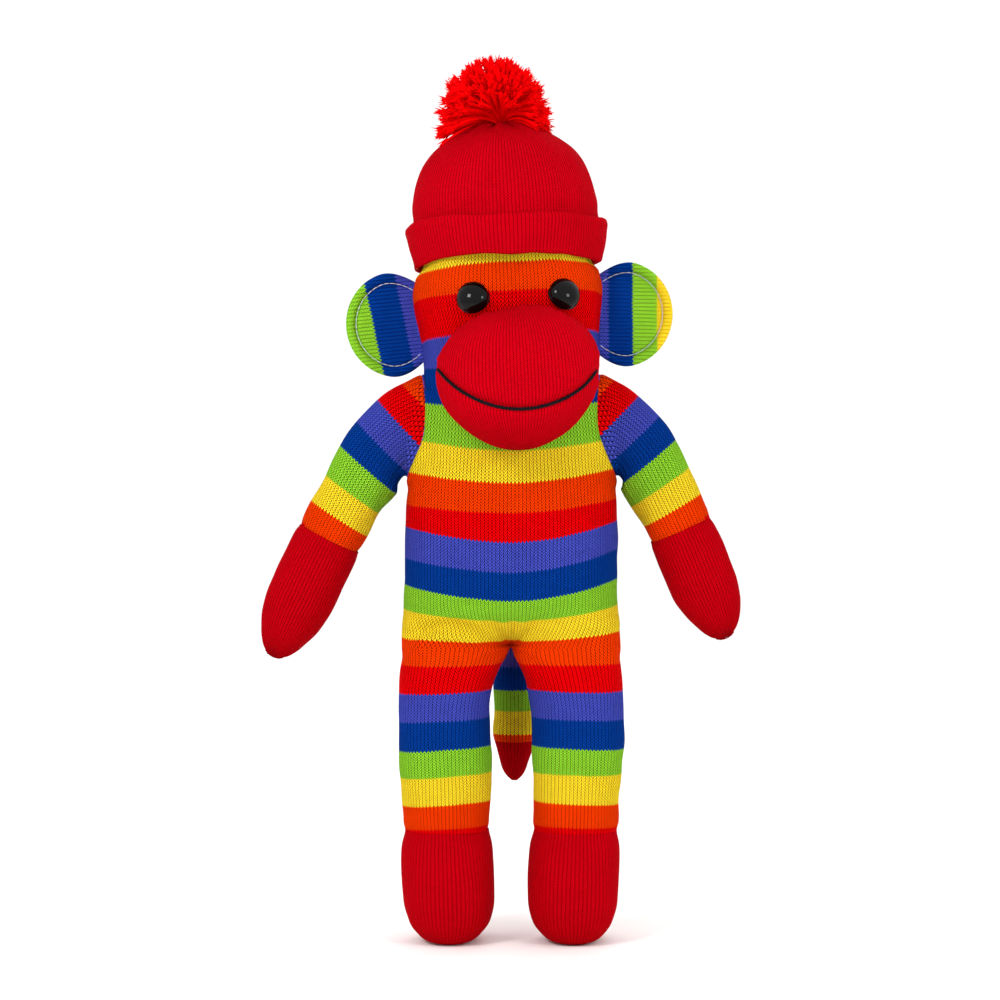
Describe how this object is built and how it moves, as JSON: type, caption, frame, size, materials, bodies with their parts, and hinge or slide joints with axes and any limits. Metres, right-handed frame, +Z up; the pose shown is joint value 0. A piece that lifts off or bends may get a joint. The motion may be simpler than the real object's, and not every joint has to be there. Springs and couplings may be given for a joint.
{
  "type": "stuffed monkey",
  "caption": "Soft knitted sock monkey doll with striped body, round ears, long limbs, a tail and a removable red pompom hat, jointed to sit or stand.",
  "frame": {"origin": "on the floor under the middle of the whole toy, at the soles", "axes": "+Z up, the face looks along -Y, the toy's own left side is +X"},
  "size_m": [0.1666, 0.0969, 0.3052],
  "materials": {
    "black_yarn": "two-ply black yarn",
    "crimson_knit": "plain crimson sock knit",
    "crimson_thread": "crimson linking thread",
    "ear_striped_knit": "green, blue and violet striped sock knit",
    "eye_plastic": "polished black dome",
    "polyester_filling": "loose white polyester fibre",
    "red_hat_knit": "fine red knit with a folded cuff",
    "red_muzzle_knit": "plain red sock knit",
    "red_pompom_yarn": "cut and frayed red yarn",
    "red_thread": "red sewing thread",
    "striped_knit": "stockinette in yellow, orange, red, violet, blue and green stripes",
    "striped_thread": "sewing thread in the sock's own colours",
    "washer_plastic": "moulded white washer",
    "white_thread": "white topstitching thread"
  },
  "bodies": {
    "torso": {"body_sock": "striped_knit", "body_stuffing": "polyester_filling"},
    "neck": {"neck_sock": "striped_knit", "neck_stuffing": "polyester_filling"},
    "head": {"head_sock": "striped_knit", "head_stuffing": "polyester_filling", "head_crown_thread": "striped_thread", "left_eye": "eye_plastic", "right_eye": "eye_plastic", "left_eye_washer": "washer_plastic", "right_eye_washer": "washer_plastic", "muzzle_sock": "red_muzzle_knit", "muzzle_stuffing": "polyester_filling", "mouth_yarn": "black_yarn"},
    "hat": {"hat_knit": "red_hat_knit", "hat_gather_thread": "red_thread"},
    "pompom": {"pompom_tie": "red_thread", "pompom": "red_pompom_yarn"},
    "tail_root": {"tail_root_seam": "striped_thread"},
    "tail": {"tail_sock": "striped_knit", "tail_tip_sock": "crimson_knit", "tail_stuffing": "polyester_filling", "tail_tip_seam": "crimson_thread"},
    "left_ear": {"left_ear_front": "ear_striped_knit", "left_ear_back": "ear_striped_knit", "left_ear_stitch": "white_thread"},
    "left_shoulder": {"left_shoulder_seam": "striped_thread"},
    "left_arm": {"left_sleeve_sock": "striped_knit", "left_hand_sock": "crimson_knit", "left_arm_stuffing": "polyester_filling", "left_hand_seam": "crimson_thread"},
    "left_leg": {"left_leg_sock": "striped_knit", "left_foot_sock": "crimson_knit", "left_leg_stuffing": "polyester_filling"},
    "right_ear": {"right_ear_front": "ear_striped_knit", "right_ear_back": "ear_striped_knit", "right_ear_stitch": "white_thread"},
    "right_shoulder": {"right_shoulder_seam": "striped_thread"},
    "right_arm": {"right_sleeve_sock": "striped_knit", "right_hand_sock": "crimson_knit", "right_arm_stuffing": "polyester_filling", "right_hand_seam": "crimson_thread"},
    "right_leg": {"right_leg_sock": "striped_knit", "right_foot_sock": "crimson_knit", "right_leg_stuffing": "polyester_filling"}
  },
  "joints": [
    {"name": "neck_turn", "type": "hinge", "parent": "torso", "child": "neck", "pos_m": [0.0036, 0.008, 0.1968], "axis": [0, 0, 1], "range_deg": [-12, 12]},
    {"name": "head_nod", "type": "hinge", "parent": "neck", "child": "head", "pos_m": [0.00363, 0.01597, 0.2007], "axis": [0.999, 0, 0.0454], "range_deg": [-18, 0]},
    {"name": "left_ear_fold", "type": "hinge", "parent": "head", "child": "left_ear", "pos_m": [0.0347, 0.00919, 0.21638], "axis": [-0.0246, -0.0869, -0.9959], "range_deg": [-35, 35], "stiffness_Nm_per_rad": 0.004},
    {"name": "right_ear_fold", "type": "hinge", "parent": "head", "child": "right_ear", "pos_m": [-0.02873, 0.00919, 0.21349], "axis": [-0.1148, 0.0869, 0.9896], "range_deg": [-35, 35], "stiffness_Nm_per_rad": 0.004},
    {"name": "hat_lift", "type": "slide", "parent": "head", "child": "hat", "axis": [-0.0452, 0.0872, 0.9952], "range_m": [0, 0.075]},
    {"name": "pompom_tilt", "type": "hinge", "parent": "hat", "child": "pompom", "pos_m": [-0.00002, 0.01497, 0.28101], "axis": [0.004, 0.9962, -0.0871], "range_deg": [-20, 20], "stiffness_Nm_per_rad": 0.01},
    {"name": "left_shoulder_swing", "type": "hinge", "parent": "torso", "child": "left_shoulder", "pos_m": [0.03789, 0.008, 0.17775], "axis": [-0.9866, 0, -0.1633], "range_deg": [-45, 100]},
    {"name": "left_arm_raise", "type": "hinge", "parent": "left_shoulder", "child": "left_arm", "pos_m": [0.03501, 0.008, 0.19511], "axis": [0, -1, 0], "range_deg": [0, 18]},
    {"name": "right_shoulder_swing", "type": "hinge", "parent": "torso", "child": "right_shoulder", "pos_m": [-0.03069, 0.008, 0.17775], "axis": [-0.9866, 0, 0.1633], "range_deg": [-45, 100]},
    {"name": "right_arm_raise", "type": "hinge", "parent": "right_shoulder", "child": "right_arm", "pos_m": [-0.02781, 0.008, 0.19511], "axis": [0, 1, 0], "range_deg": [0, 18]},
    {"name": "left_hip_swing", "type": "hinge", "parent": "torso", "child": "left_leg", "pos_m": [0.0036, 0.002, 0.104], "axis": [-1, 0, 0], "range_deg": [-10, 90]},
    {"name": "right_hip_swing", "type": "hinge", "parent": "torso", "child": "right_leg", "pos_m": [0.0036, 0.002, 0.104], "axis": [-1, 0, 0], "range_deg": [-10, 90]},
    {"name": "tail_sway", "type": "hinge", "parent": "torso", "child": "tail_root", "pos_m": [0.0049, 0.0319, 0.113], "axis": [0, 1, 0], "range_deg": [-30, 30]},
    {"name": "tail_lift", "type": "hinge", "parent": "tail_root", "child": "tail", "pos_m": [0.0049, 0.0329, 0.113], "axis": [1, 0, 0], "range_deg": [0, 80]}
  ]
}
